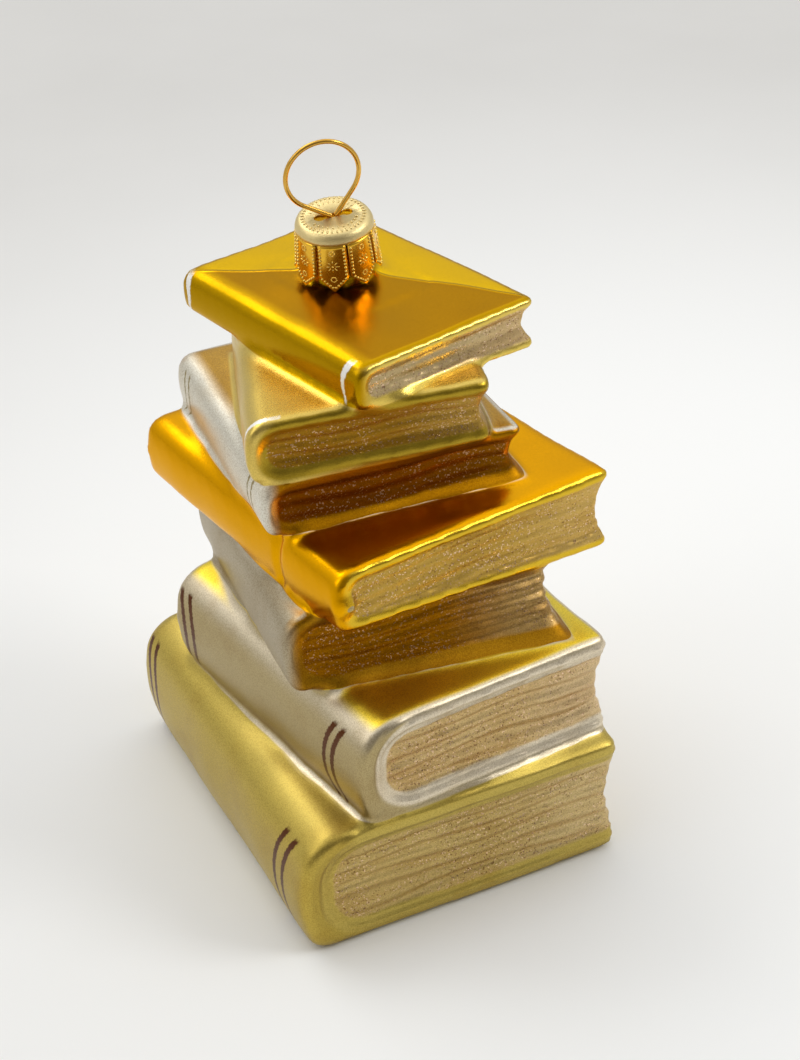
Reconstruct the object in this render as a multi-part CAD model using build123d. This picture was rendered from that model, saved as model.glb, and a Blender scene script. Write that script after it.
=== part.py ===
from build123d import *
import os
from dataclasses import dataclass
from math import asin, cos, degrees, radians, sin

# A hollow blown-glass ornament in the shape of seven stacked books, with a stamped crown cap and a
# sprung wire hanger. Millimetres, +Z up, origin at the middle of the flat base of the bottom book.

# ---- the books -----------------------------------------------------------------------------------
# Each book is moulded flat on the one below. The tail is the end towards -Y, the spine is towards -X
# before the book is turned, and x and y place its middle. Turn is the direction of the tail and skew
# is how far the length runs out of square with it, because the books are modelled by hand. Sag is how
# much lower a loose fore edge hangs than the spine. Board is the cover seen edge on.


@dataclass
class Book:
    tail_width: float
    head_width: float
    length: float
    thickness: float
    board: float
    x: float
    y: float
    turn: float
    skew: float
    sag: float


books = [
    Book(
        tail_width=60.2, head_width=61.0, length=72.0, thickness=23.8, board=2.6,
        x=-0.4, y=0.2, turn=0.5, skew=-1.0, sag=0.0,
    ),
    Book(
        tail_width=48.6, head_width=52.4, length=58.0, thickness=19.6, board=2.0,
        x=1.2, y=-5.0, turn=5.2, skew=2.3, sag=0.0,
    ),
    Book(
        tail_width=48.6, head_width=49.0, length=50.0, thickness=14.8, board=1.3,
        x=1.2, y=-0.4, turn=-9.1, skew=3.1, sag=0.0,
    ),
    Book(
        tail_width=54.4, head_width=48.6, length=60.0, thickness=11.4, board=1.5,
        x=2.0, y=4.6, turn=8.1, skew=3.1, sag=4.4,
    ),
    Book(
        tail_width=45.0, head_width=42.1, length=47.0, thickness=9.9, board=1.4,
        x=-0.5, y=8.3, turn=-3.8, skew=0.6, sag=0.0,
    ),
    Book(
        tail_width=40.8, head_width=36.1, length=42.0, thickness=11.6, board=1.8,
        x=0.0, y=4.7, turn=-8.0, skew=-9.0, sag=0.0,
    ),
    Book(
        tail_width=36.6, head_width=35.0, length=45.6, thickness=7.6, board=1.3,
        x=3.0, y=8.9, turn=12.6, skew=3.5, sag=1.9,
    ),
]

melt = 0.3                # how far each book is melted into the one below
foot_ground = 0.1         # how much is ground off the bottom book so that it stands flat
spine_bulge = 0.10        # how far a spine rounds outward, for each millimetre of book thickness
spine_round = 0.24        # radius where a spine turns into the upper board, for each millimetre of thickness
foot_round = 0.10         # the same at the lower board
page_recess = 1.1         # how far the head and tail of the pages lie behind the boards
page_step = 0.3           # how much further the boards reach over the head and tail than over the fore edge
fore_edge_hollow = 1.6    # how far the fore edge of the pages is hollowed
board_corner = 1.0        # rounding along the fore edge of a board
end_corner = 0.6          # rounding round the head and tail of a cover
glass_wall = 1.0          # thickness of the blown glass

# ---- the neck, set on the top book -----------------------------------------------------------------
neck_from_book_x = -1.1   # neck axis from the middle of the top book
neck_from_book_y = 3.0
neck_lean_x = 4.8         # degrees that the neck leans towards -Y
neck_lean_y = -5.6        # degrees that it leans towards -X
neck_diameter = 10.5
neck_height = 11.9        # top of the top book to the rim
ledge_reach = 1.75        # how far the ring of glass at the foot of the neck stands out from it
ledge_height = 1.5
ledge_round = 0.5
roof_reach = 8.25         # how far the low rise of the top cover spreads from the neck
roof_height = 0.5

# ---- the stamped cap -------------------------------------------------------------------------------
cap_metal = 0.3
disc_reach = 0.25         # how far the flat of the disc passes the neck
cap_clearance = 0.85      # from the neck to the inside of the shoulder
shoulder_drop = 1.9       # from the disc down to where the petals start
petal_count = 8
petal_turn = -120.0       # direction of the middle of the first petal
petal_flare = 0.65        # how far the tips stand out past the shoulder
tip_clearance = 0.6       # from the tips down to the ring of glass
petal_point = 2.4         # length of the pointed end of a petal
petal_gap = 0.5           # width of the cut between petals at its top
petal_gap_spread = 0.9    # its width where the points start

# ---- the wire hanger and its slot ------------------------------------------------------------------
wire_diameter = 0.8
ring_diameter = 12.8      # outside
ring_top = 14.2           # from the disc to the top of the ring
ring_lean = 8.0           # degrees that the ring tips over sideways
hanger_turn = -9.4        # direction of the slot and the ring, from +X
strand_gap = 0.15         # between the two strands in the slot
slot_clearance = 0.25     # each side of the wire in the narrow part of the slot
slot_length = 6.5
slot_end_diameter = 1.9
leg_depth = 7.5           # how far the sprung legs reach below the disc
leg_clearance = 0.3       # from a leg's end to the inside of the neck

# ---- sizes that follow -----------------------------------------------------------------------------
neck_radius = neck_diameter / 2
bore_radius = neck_radius - glass_wall
wire_radius = wire_diameter / 2
ledge_radius = neck_radius + ledge_reach
disc_top = neck_height + cap_metal
disc_radius = neck_radius + disc_reach
shoulder_radius = neck_radius + cap_clearance + cap_metal
tip_radius = shoulder_radius + petal_flare
petal_start = disc_top - shoulder_drop
petal_tip = ledge_height + tip_clearance
stack_height = sum(book.thickness for book in books) - melt * (len(books) - 1) - foot_ground


def directions(book):
    """The way across a book, from its spine to its fore edge, and the way along it to its head."""
    along = radians(book.turn + book.skew)
    across = radians(book.turn)
    return Vector(cos(across), sin(across)), Vector(-sin(along), cos(along))


def end_plane(book, level, side, inset=0.0):
    """An upright plane across the book at its tail (side -1) or its head (side 1)."""
    across, along = directions(book)
    middle = Vector(book.x, book.y, level) + along * (side * (book.length / 2 - inset))
    return Plane(origin=middle, x_dir=across, z_dir=across.cross(Vector(0, 0, 1)))


def end_width(book, side):
    return book.tail_width if side < 0 else book.head_width


def corners_at(sketch, points):
    """The corners of a sketch that lie at the given points."""
    return [v for v in sketch.vertices() if any((Vector(v) - Vector(*p)).length < 0.01 for p in points)]


def cover_section(book, width):
    """The book cut across its spine: a round spine, two boards and a hollow fore edge."""
    half = width / 2
    top = book.thickness
    board = book.board
    spine_x = -half + spine_bulge * top
    bottom = -book.sag
    hollow_y = (top + bottom) / 2
    section = make_face(
        Curve()
        + [
            ThreePointArc((spine_x, top), (-half, top / 2), (spine_x, 0)),
            Polyline((spine_x, 0), (half, bottom), (half, bottom + board)),
            ThreePointArc((half, bottom + board), (half - fore_edge_hollow, hollow_y), (half, top - board)),
            Polyline((half, top - board), (half, top), (spine_x, top)),
        ]
    )
    section = fillet(corners_at(section, [(spine_x, top)]), spine_round * top)
    section = fillet(corners_at(section, [(spine_x, 0)]), foot_round * top)
    return fillet(corners_at(section, [(half, top), (half, bottom)]), min(board_corner, 0.45 * board))


def page_section(book, width):
    """The end of the page block, which runs out past the fore edge."""
    top = book.thickness - book.board - page_step
    bottom = book.board + page_step
    spine_x = -width / 2 + book.board + (spine_bulge + spine_round / 2) * book.thickness
    round_x = -width / 2 + book.board
    fore_x = width / 2 + board_corner
    return make_face(
        Curve()
        + [
            ThreePointArc((spine_x, top), (round_x, book.thickness / 2), (spine_x, bottom)),
            Polyline((spine_x, bottom), (fore_x, bottom - book.sag), (fore_x, top), (spine_x, top)),
        ]
    )


def hollow_section(book, width):
    """The hollow inside a book cut across its spine, one wall inside the cover and the pages."""
    top = book.thickness - glass_wall
    spine_x = -width / 2 + glass_wall + (spine_bulge + spine_round / 2) * book.thickness
    round_x = -width / 2 + glass_wall
    fore_x = width / 2 - glass_wall - fore_edge_hollow
    return make_face(
        Curve()
        + [
            ThreePointArc((spine_x, top), (round_x, book.thickness / 2), (spine_x, glass_wall)),
            Polyline((spine_x, glass_wall), (fore_x, glass_wall - book.sag), (fore_x, top), (spine_x, top)),
        ]
    )


def book_form(book, level):
    """One book as a solid form with the outside shape of the glass."""
    ends = [end_plane(book, level, side) * cover_section(book, end_width(book, side)) for side in (-1, 1)]
    form = loft(ends, ruled=True)
    faces = [f for f in form.faces() for end in ends if (f.center() - end.center()).length < 0.01]
    end_edges = ShapeList(edge for face in faces for edge in face.edges())
    form = fillet(end_edges, min(end_corner, 0.4 * book.board))
    for side in (-1, 1):
        pages = end_plane(book, level, side) * page_section(book, end_width(book, side))
        form -= extrude(pages, amount=page_recess, both=True)
    return form


def book_hollow(book, level):
    """The space inside one book."""
    ends = []
    for side in (-1, 1):
        plane = end_plane(book, level, side, glass_wall + page_recess)
        ends.append(plane * hollow_section(book, end_width(book, side)))
    return loft(ends, ruled=True)


def hollow_plan(book):
    """The flat part of a book's hollow seen from above."""
    across, along = directions(book)
    inset = glass_wall + page_recess
    spine_side = glass_wall + (spine_bulge + spine_round / 2) * book.thickness
    fore_side = glass_wall + fore_edge_hollow
    corners = []
    for side in (-1, 1):
        middle = Vector(book.x, book.y) + along * (side * (book.length / 2 - inset))
        half = end_width(book, side) / 2
        row = [middle - across * (half - spine_side), middle + across * (half - fore_side)]
        corners += row if side < 0 else row[::-1]
    return make_face(Polyline(*corners, close=True))


def neck_frame():
    """Where the neck stands, with its own lean."""
    top = books[-1]
    place = Pos(top.x + neck_from_book_x, top.y + neck_from_book_y, stack_height)
    return place * Rotation(neck_lean_x, neck_lean_y, 0)


def glass_body():
    outside = Part()
    inside = Part()
    level = -foot_ground
    below = None
    for book in books:
        outside += book_form(book, level)
        inside += book_hollow(book, level)
        if below is not None:
            opening = hollow_plan(below) & hollow_plan(book)
            inside += Pos(0, 0, level) * extrude(opening, amount=1.5 * glass_wall, both=True)
        level += book.thickness - melt
        below = book
    on_foot = (Align.CENTER, Align.CENTER, Align.MIN)
    frame = neck_frame()
    roof = Cone(neck_radius + roof_reach, neck_radius, roof_height, align=on_foot)
    outside += Pos(frame.position.X, frame.position.Y, stack_height) * roof
    neck_outline = make_face(
        Polyline(
            (0, -glass_wall), (ledge_radius, -glass_wall), (ledge_radius, ledge_height),
            (neck_radius, ledge_height), (neck_radius, neck_height), (0, neck_height), close=True,
        )
    )
    neck = revolve(Plane.XZ * neck_outline, Axis.Z)
    ledge_edges = neck.edges().filter_by(
        lambda e: abs(e.center().Z - ledge_height) < 0.01 and e.radius > neck_radius
    )
    outside += frame * fillet(ledge_edges, ledge_round)
    sunk = 2 * (glass_wall + roof_height)
    bore = Pos(0, 0, -sunk) * Cylinder(bore_radius, neck_height + 1.5 * sunk, align=on_foot)
    under_floor = (Align.CENTER, Align.CENTER, Align.MAX)
    ground = Box(2 * books[0].tail_width, 2 * books[0].length, 2 * foot_ground, align=under_floor)
    return outside - inside - frame * bore - Pos(books[0].x, books[0].y) * ground


def crown_cap():
    start = petal_start
    tip = petal_tip
    corner = Vector(disc_radius + (shoulder_radius - disc_radius) * 0.72, disc_top - shoulder_drop * 0.28)
    line = [
        Line((0, disc_top), (disc_radius, disc_top)),
        ThreePointArc((disc_radius, disc_top), corner, (shoulder_radius, start)),
        Line((shoulder_radius, start), (tip_radius, tip)),
        Line((tip_radius, tip), (tip_radius - cap_metal, tip)),
        Line((tip_radius - cap_metal, tip), (shoulder_radius - cap_metal, start)),
        ThreePointArc(
            (shoulder_radius - cap_metal, start), corner - Vector(cap_metal, cap_metal) * 0.7,
            (disc_radius, disc_top - cap_metal),
        ),
        Line((disc_radius, disc_top - cap_metal), (0, disc_top - cap_metal)),
        Line((0, disc_top - cap_metal), (0, disc_top)),
    ]
    cap = revolve(Plane.XZ * make_face(Curve() + line), Axis.Z)
    half_pitch = tip_radius * sin(radians(180 / petal_count)) * 1.02
    gap = make_face(
        Polyline(
            (-petal_gap / 2, start - 0.4), (petal_gap / 2, start - 0.4),
            (petal_gap_spread / 2, tip + petal_point), (half_pitch, tip),
            (half_pitch, tip - 1), (-half_pitch, tip - 1),
            (-half_pitch, tip), (-petal_gap_spread / 2, tip + petal_point), close=True,
        )
    )
    cutter = extrude(Plane.XZ * gap, amount=-2 * tip_radius)
    for number in range(petal_count):
        angle = petal_turn + (number + 0.5) * 360 / petal_count
        cap -= Rotation(0, 0, angle - 90) * cutter
    slot_width = wire_diameter + 2 * slot_clearance
    end_x = (slot_length - slot_end_diameter) / 2
    slot = Rectangle(2 * end_x, slot_width) + Pos(-end_x, 0) * Circle(slot_end_diameter / 2)
    slot += Pos(end_x, 0) * Circle(slot_end_diameter / 2)
    slot = Rotation(0, 0, hanger_turn) * extrude(slot, amount=4 * cap_metal, both=True)
    return neck_frame() * (cap - Pos(0, 0, disc_top) * slot)


def wire_hanger():
    """A ring of wire whose ends pinch together in the slot and spring apart inside the neck."""
    radius = ring_diameter / 2 - wire_radius
    rise = ring_top - ring_diameter / 2
    pinch = wire_radius + strand_gap / 2
    reach = bore_radius - leg_clearance - wire_radius
    tangent_angle = degrees(asin((radius - pinch) / rise))
    lean = Rotation(0, 0, ring_lean)

    def leaned(x, y):
        return (lean * Pos(x, y, 0)).position

    def touch(side):
        angle = radians(tangent_angle)
        return leaned(side * radius * cos(angle), rise - radius * sin(angle))

    left, right = touch(-1), touch(1)
    top = leaned(0, rise + radius)
    route = [
        Line((-reach, -leg_depth), (-pinch, 0)),
        Line((-pinch, 0), left),
        ThreePointArc(left, top, right),
        Line(right, (pinch, 0)),
        Line((pinch, 0), (reach, -leg_depth)),
    ]
    path = Wire(route)
    plane = Plane.XZ
    start = plane * Plane(origin=(-reach, -leg_depth, 0), z_dir=(reach - pinch, leg_depth, 0))
    wire = sweep(start * Circle(wire_radius), plane * path, transition=Transition.ROUND)
    return neck_frame() * Pos(0, 0, disc_top) * Rotation(0, 0, hanger_turn) * wire


os.makedirs("parts", exist_ok=True)
pieces = {"glass_body": glass_body(), "crown_cap": crown_cap(), "wire_hanger": wire_hanger()}
for name, piece in pieces.items():
    export_step(piece, f"parts/{name}.step")
    print(name, "solids", len(piece.solids()), "volume", round(piece.volume, 1), "valid", piece.is_valid)
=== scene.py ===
# %% [markdown]
# # A blown-glass stack of books
# The object is a hollow glass ornament: seven small books blown in one mould, silvered inside, sprayed
# with coloured lacquer outside and finished with glitter on the pages. A stamped gold cap sits on its
# neck, and a ring of sprung wire hangs it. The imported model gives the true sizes; this file gives the
# soft, glossy look of the real thing.
# The frame comes first, because every piece below is placed around it.

# %% Load the frame
from dataclasses import dataclass
from math import asin, cos, exp, pi, radians, sin, sqrt

import bmesh
import bpy
from mathutils import Matrix, Vector, noise


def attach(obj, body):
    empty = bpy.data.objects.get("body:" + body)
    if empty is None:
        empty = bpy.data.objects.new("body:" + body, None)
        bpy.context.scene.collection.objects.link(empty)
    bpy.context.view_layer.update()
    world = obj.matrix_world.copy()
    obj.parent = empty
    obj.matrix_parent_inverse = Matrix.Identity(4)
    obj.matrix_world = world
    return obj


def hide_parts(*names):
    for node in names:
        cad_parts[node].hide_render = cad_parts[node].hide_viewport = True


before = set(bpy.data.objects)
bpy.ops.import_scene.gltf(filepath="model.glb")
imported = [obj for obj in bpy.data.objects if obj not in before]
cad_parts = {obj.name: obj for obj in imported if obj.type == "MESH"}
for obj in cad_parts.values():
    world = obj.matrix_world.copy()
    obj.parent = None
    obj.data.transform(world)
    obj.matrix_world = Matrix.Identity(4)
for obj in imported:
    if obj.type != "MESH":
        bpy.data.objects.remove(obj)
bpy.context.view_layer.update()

MM = 0.001
scene = bpy.context.scene

# %% [markdown]
# The sizes of the books are the maker's: they repeat the mould in millimetres. Every book lies a little
# askew on the one below, and two of them are loose enough for the fore edge to sag. Level is the height
# of a book's underside, and each book melts slightly into the one below, because the glass is one skin.

# %% The books
melt = 0.3


@dataclass
class Book:
    name: str
    tail_width: float
    head_width: float
    length: float
    thickness: float
    rim: float
    x: float
    y: float
    turn: float
    skew: float
    sag: float
    droop: float
    lean: float
    softness: int
    level: float = 0.0

    def directions(self):
        across = radians(self.turn)
        along = radians(self.turn + self.skew)
        return Vector((cos(across), sin(across), 0)), Vector((-sin(along), cos(along), 0))

    def width_at(self, y):
        return self.tail_width + (self.head_width - self.tail_width) * y / self.length

    def place(self, p):
        """From the book's own millimetres (from the spine, from the tail, up) to the frame's metres."""
        across, along = self.directions()
        share = p.x / self.tail_width
        middle = Vector((self.x, self.y, self.level))
        side = (share - 0.5) * self.width_at(p.y)
        upper = p.z / self.thickness
        height = p.z - self.sag * share * (1 - upper) - self.droop * share**2 * upper
        set_back = self.lean * share * upper * (1 - p.y / self.length)
        way = p.y + set_back - self.length / 2
        return (middle + across * side + along * way + Vector((0, 0, height))) * MM


books = [
    Book("folio", 60.2, 61.0, 72.0, 23.7, 4.0, -0.4, 0.2, 0.5, -1.0, 0.0, 0.0, 0.0, 12),
    Book("silver", 48.6, 52.4, 58.0, 19.6, 3.4, 1.2, -5.0, 5.2, 2.3, 0.0, 0.0, 0.0, 11),
    Book("pearl", 48.6, 49.0, 50.0, 14.8, 2.0, 1.2, -0.4, -9.1, 3.1, 0.0, 1.5, 8.5, 10),
    Book("amber", 54.4, 48.6, 60.0, 11.4, 1.9, 2.0, 4.6, 8.1, 3.1, 4.4, 0.0, 0.0, 9),
    Book("cream", 45.0, 42.1, 47.0, 9.9, 1.7, -0.5, 8.3, -3.8, 0.6, 0.0, 0.0, 0.0, 8),
    Book("champagne", 40.8, 36.1, 42.0, 11.6, 2.5, 0.0, 4.7, -8.0, -9.0, 0.0, 0.0, 0.0, 8),
    Book("top", 36.6, 35.0, 45.6, 7.6, 1.5, 3.0, 8.9, 12.6, 3.5, 1.9, 0.0, 0.0, 8),
]
height = 0.0
for book in books:
    book.level = height
    height += book.thickness - melt
stack_top = height + melt
print("stack height", round(stack_top, 2), "mm")

# %% [markdown]
# ## Camera, floor and light
# The camera is made early, so that each piece can be looked at as it is added. It stands in front of the
# spine corner and looks down, with a long lens, which keeps the edges of the books nearly parallel.

# %% Camera
camera_turn = -25.43
camera_rise = 33.98
camera_roll = -1.55
camera_distance = 410.05 * MM
aim_sideways = 5.27 * MM
aim_height = 54.67 * MM
camera_lens = 82.53


def make_camera():
    turn, rise, roll = radians(camera_turn), radians(camera_rise), radians(camera_roll)
    back = Vector((sin(turn) * cos(rise), -cos(turn) * cos(rise), sin(rise)))
    level_right = Vector((cos(turn), sin(turn), 0))
    level_up = back.cross(level_right)
    right = level_right * cos(roll) + level_up * sin(roll)
    up = level_up * cos(roll) - level_right * sin(roll)
    place = level_right * aim_sideways + Vector((0, 0, aim_height)) + back * camera_distance
    data = bpy.data.cameras.new("camera")
    data.lens = camera_lens
    data.sensor_width = 36
    data.clip_start = 0.01
    data.clip_end = 10
    camera = bpy.data.objects.new("camera", data)
    camera.matrix_world = Matrix.Translation(place) @ Matrix((right, up, back)).transposed().to_4x4()
    scene.collection.objects.link(camera)
    scene.camera = camera


make_camera()

# %% [markdown]
# Materials are written as arithmetic. One small class wraps a socket, so that `1 - mask` or `a * b` adds
# the Math node it stands for, and one function adds any other node. Reading a material is then like
# reading its recipe.

# %% A small language for materials
class Value:
    """A number that varies over a surface: a socket that can be used in arithmetic."""

    def __init__(self, tree, socket):
        self.tree = tree
        self.socket = socket

    def math(self, operation, *others):
        made = self.tree.nodes.new("ShaderNodeMath")
        made.operation = operation
        for slot, other in zip(made.inputs, (self, *others)):
            feed(self.tree, slot, other)
        return Value(self.tree, made.outputs[0])

    def __add__(self, other):
        return self.math("ADD", other)

    def __sub__(self, other):
        return self.math("SUBTRACT", other)

    def __rsub__(self, other):
        return (self * -1).math("ADD", other)

    def __mul__(self, other):
        return self.math("MULTIPLY", other)

    def __truediv__(self, other):
        return self.math("DIVIDE", other)

    __rmul__ = __mul__

    def least(self, other):
        return self.math("MINIMUM", other)

    def most(self, other):
        return self.math("MAXIMUM", other)

    def power(self, other):
        return self.math("POWER", other)

    def size(self):
        return self.math("ABSOLUTE")

    def root(self):
        return self.math("SQRT")

    def ramp(self, low, high):
        """0 below low and 1 above high, with a smooth step between. Low may be above high."""
        if low > high:
            return 1 - self.ramp(high, low)
        settings = {"interpolation_type": "SMOOTHSTEP"}
        sockets = {"Value": self, "From Min": low, "From Max": high}
        return Value(self.tree, node(self.tree, "MapRange", settings, sockets).outputs[0])


def feed(tree, slot, value):
    """Gives a socket a number, a colour or a link."""
    if isinstance(value, Value):
        tree.links.new(value.socket, slot)
    elif isinstance(value, bpy.types.NodeSocket):
        tree.links.new(value, slot)
    else:
        slot.default_value = value


def node(tree, kind, settings=None, sockets=None):
    """Any shader node: its type, the settings that come first, and its sockets' values or links."""
    made = tree.nodes.new("ShaderNode" + kind)
    for name, value in (settings or {}).items():
        setattr(made, name, value)
    for name, value in (sockets or {}).items():
        feed(tree, made.inputs[name], value)
    return made


def linear(c):
    """One channel of a screen colour, 0 to 1, as linear light. The numbers are those of the sRGB curve."""
    return c / 12.92 if c <= 0.04045 else ((c + 0.055) / 1.055) ** 2.4


def colour(red, green, blue):
    """A colour as a paint chart gives it, turned into the linear light that shaders use."""
    return (*[linear(c / 255) for c in (red, green, blue)], 1.0)


def blend(tree, first, second, factor, how="MIX"):
    """Mixes two colours. Which way is the Mix node's own blend type."""
    made = node(tree, "Mix", {"data_type": "RGBA", "blend_type": how, "clamp_result": False})
    feed(tree, made.inputs[0], factor)
    feed(tree, made.inputs[6], first)
    feed(tree, made.inputs[7], second)
    return made.outputs[2]


def material(name):
    """An empty material with its shader and its object coordinates, in millimetres."""
    made = bpy.data.materials.new(name)
    made.use_nodes = True
    tree = made.node_tree
    shader = tree.nodes["Principled BSDF"]
    place = node(tree, "TexCoord").outputs["Object"]
    millimetres = node(tree, "VectorMath", {"operation": "SCALE"}, {0: place, "Scale": 1 / MM}).outputs[0]
    return made, tree, shader, millimetres


def noise_at(tree, place, scale, detail=2.0, roughness=0.5, stretch=None):
    """Cloudy noise, 0 to 1, with scale in patches for each millimetre."""
    if stretch:
        mapping = node(tree, "Mapping", {"vector_type": "POINT"}, {"Vector": place, "Scale": stretch})
        place = mapping.outputs[0]
    sockets = {"Vector": place, "Scale": scale, "Detail": detail, "Roughness": roughness}
    return Value(tree, node(tree, "TexNoise", None, sockets).outputs[0])


# %% [markdown]
# The ornament stands on a plain pale table that fades to grey behind it. The fade is painted shade, and
# its pale middle, set a little right of the ornament, is painted light. A round gradient about the
# origin does this from every side, with no wall to get in the way of another view.

# %% Floor
floor_size = 3.0
# Painted light and shade: the table is palest about this middle and fades to grey with distance.
floor_centre = (70.0, -10.0)
floor_near = 75.0
floor_far = 330.0
floor_pale = colour(245, 246, 245)
floor_shade = colour(206, 205, 202)
floor_speck = colour(240, 239, 237)


def settle(bm, name):
    """Turns a finished bmesh into an object of the scene."""
    mesh = bpy.data.meshes.new(name)
    bm.to_mesh(mesh)
    bm.free()
    made = bpy.data.objects.new(name, mesh)
    scene.collection.objects.link(made)
    return made


def make_floor():
    made, tree, shader, place = material("pale_table")
    parts = node(tree, "SeparateXYZ", None, {0: place})
    x, y = Value(tree, parts.outputs[0]), Value(tree, parts.outputs[1])
    x, y = x - floor_centre[0], y - floor_centre[1]
    away = (x * x + y * y).root().ramp(floor_near, floor_far)
    grain = noise_at(tree, place, 0.02, 3.0)
    pale = blend(tree, floor_pale, floor_shade, away)
    feed(tree, shader.inputs["Base Color"], blend(tree, pale, floor_speck, grain * 0.2))
    shader.inputs["Roughness"].default_value = 0.75
    shader.inputs["Specular IOR Level"].default_value = 0.25
    bm = bmesh.new()
    bmesh.ops.create_grid(bm, x_segments=1, y_segments=1, size=floor_size)
    floor = settle(bm, "table_top")
    floor.data.materials.append(made)


make_floor()

# %% [markdown]
# Silvered glass is a mirror, so what stands round it is half of its look. A soft sky that is brighter
# overhead and darker in front, one large lamp behind, a weak one at the left and one at the front right
# give wide soft highlights with darker gaps between them, as a window-lit white room does.

# %% Light
room_wall = (0.60, 0.60, 0.59, 1)
room_ceiling = (1.12, 1.12, 1.12, 1)
room_shade = (0.22, 0.21, 0.20, 1)
room_dark_side = (-0.20, -0.93, 0.30)
room_strength = 1.0


def area_lamp(name, place, size, watts):
    """A soft lamp, with its place and size in metres, that points at the foot of the ornament."""
    data = bpy.data.lights.new(name, "AREA")
    data.shape = "RECTANGLE"
    data.size, data.size_y = size
    data.energy = watts
    lamp = bpy.data.objects.new(name, data)
    lamp.location = place
    lamp.rotation_mode = "QUATERNION"
    lamp.rotation_quaternion = Vector(place).to_track_quat("Z", "Y")
    scene.collection.objects.link(lamp)


def make_world():
    world = bpy.data.worlds.new("soft_room")
    world.use_nodes = True
    tree = world.node_tree
    direction = node(tree, "TexCoord").outputs["Generated"]
    up = Value(tree, node(tree, "SeparateXYZ", None, {0: direction}).outputs[2])
    parts = node(tree, "VectorMath", {"operation": "DOT_PRODUCT"}, {0: direction, 1: room_dark_side})
    dark = Value(tree, parts.outputs["Value"]).ramp(0.1, 0.95)
    sky = blend(tree, room_wall, room_ceiling, up.ramp(0.1, 0.9))
    feed(tree, tree.nodes["Background"].inputs["Color"], blend(tree, sky, room_shade, dark))
    tree.nodes["Background"].inputs["Strength"].default_value = room_strength
    scene.world = world


make_world()
area_lamp("back_lamp", (-0.25, 0.60, 0.90), (0.7, 0.4), 2.3)
area_lamp("left_lamp", (-0.80, 0.15, 0.60), (0.3, 0.5), 0.5)
area_lamp("front_lamp", (0.85, -0.55, 0.90), (0.5, 0.3), 3.9)
scene.view_settings.view_transform = "Standard"
print("lamps", [lamp.name for lamp in bpy.data.lights])

# %% [markdown]
# ## The glass skin
# Each book is modelled as the mould maker cut it: a cover wrapped round a block of pages. The cover's
# section has two boards and a round spine, and it is pushed from the tail to the head. The block of pages
# is a little shorter than the cover, and hollow along its fore edge. The outlines are worked out from
# the same few sizes, with the rounds as formulas.

# %% Sections of a book
spine_bulge = 0.10
spine_round = 0.24
foot_round = 0.10
page_recess = 1.1
fore_edge_hollow = 1.6
arc_steps = 14
board_round = 0.45
corner_steps = 4
smallest_round = 0.4
lower_share = 0.4
fore_edge_inset = 0.2


def add_mesh(target, bm, index=0):
    """Adds one finished body to the piece, with its material's number."""
    for face in bm.faces:
        face.material_index = index
        face.smooth = True
    part = bpy.data.meshes.new("part")
    bm.to_mesh(part)
    bm.free()
    target.from_mesh(part)
    bpy.data.meshes.remove(part)


def spine_side(book, inset):
    """The rounded back of a section from its top to its bottom, a distance inside the cover."""
    top, bottom = book.thickness - inset, inset
    tall = top - bottom
    upper = max(spine_round * book.thickness - inset / 2, smallest_round)
    lower = max(foot_round * book.thickness, lower_share * upper)
    points = []
    for step in range(2 * arc_steps + 1):
        z = (top + bottom) / 2 + tall / 2 * cos(pi * step / (2 * arc_steps))
        bulge = spine_bulge * book.thickness * (2 * (z - bottom) / tall - 1) ** 2
        over = max(z - (top - upper), 0)
        under = max((bottom + lower) - z, 0)
        rounding = upper - sqrt(max(upper**2 - over**2, 0)) + lower - sqrt(max(lower**2 - under**2, 0))
        points.append((inset + bulge + rounding, z))
    return points


def rounded_corner(x, z, size, first, last):
    """A quarter round instead of a corner: between two compass directions given in degrees."""
    angles = [radians(first + (last - first) * step / corner_steps) for step in range(corner_steps + 1)]
    return [(x + size * cos(angle), z + size * sin(angle)) for angle in angles]


def cover_outline(book):
    """The wrap of the cover: the outer back, then the inner back, so that it is open at the fore edge."""
    top, rim = book.thickness, book.rim
    size = board_round * rim
    x = book.tail_width - size
    outer = rounded_corner(x, top - size, size, 0, 90) + spine_side(book, 0)
    outer += rounded_corner(x, size, size, -90, 0) + rounded_corner(x, rim - size, size, 0, 90)
    inner = spine_side(book, rim)[::-1]
    return outer + inner + rounded_corner(x, top - rim + size, size, -90, 0)


def page_outline(book):
    """The block of pages, which fills the cover and bows inward at the fore edge."""
    edge = book.tail_width - fore_edge_inset
    middle, half = book.thickness / 2, book.thickness / 2 - book.rim
    hollow = []
    for step in range(2 * arc_steps + 1):
        share = -cos(pi * step / (2 * arc_steps))
        hollow.append((edge - fore_edge_hollow * (1 - share**2), middle + half * share))
    return spine_side(book, book.rim) + hollow


# %% [markdown]
# A section becomes a solid by pushing it along the book, from the tail to the head. Hot glass never keeps
# a sharp edge, so the first and last few slices are drawn inward along a quarter round. Each end is closed
# by a row of strips between facing points of the outline, because a leaning book's end is not flat. The
# book's own coordinates are then carried to its place in the stack, which also gives it lean and sag.

# %% One book as cover and pages
end_steps = 5


def drawn_in(outline, inset):
    """The outline moved inward by the same distance everywhere."""
    points = [Vector(point) for point in outline]
    moved = []
    for before, point, after in zip(points[-1:] + points[:-1], points, points[1:] + points[:1]):
        way = (after - before).normalized()
        moved.append((point.x - way.y * inset, point.y + way.x * inset))
    return moved


def slices(outline, start, end, rounding):
    """The outline at each place along the book, drawn in near both ends."""
    angles = [pi / 2 * step / end_steps for step in range(end_steps + 1)] if rounding else [pi / 2]
    ends = [(rounding * (1 - sin(angle)), rounding * (1 - cos(angle))) for angle in angles]
    near = [(start + along, drawn_in(outline, inset)) for inset, along in ends]
    far = [(end - along, drawn_in(outline, inset)) for inset, along in reversed(ends)]
    return near + far


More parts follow.
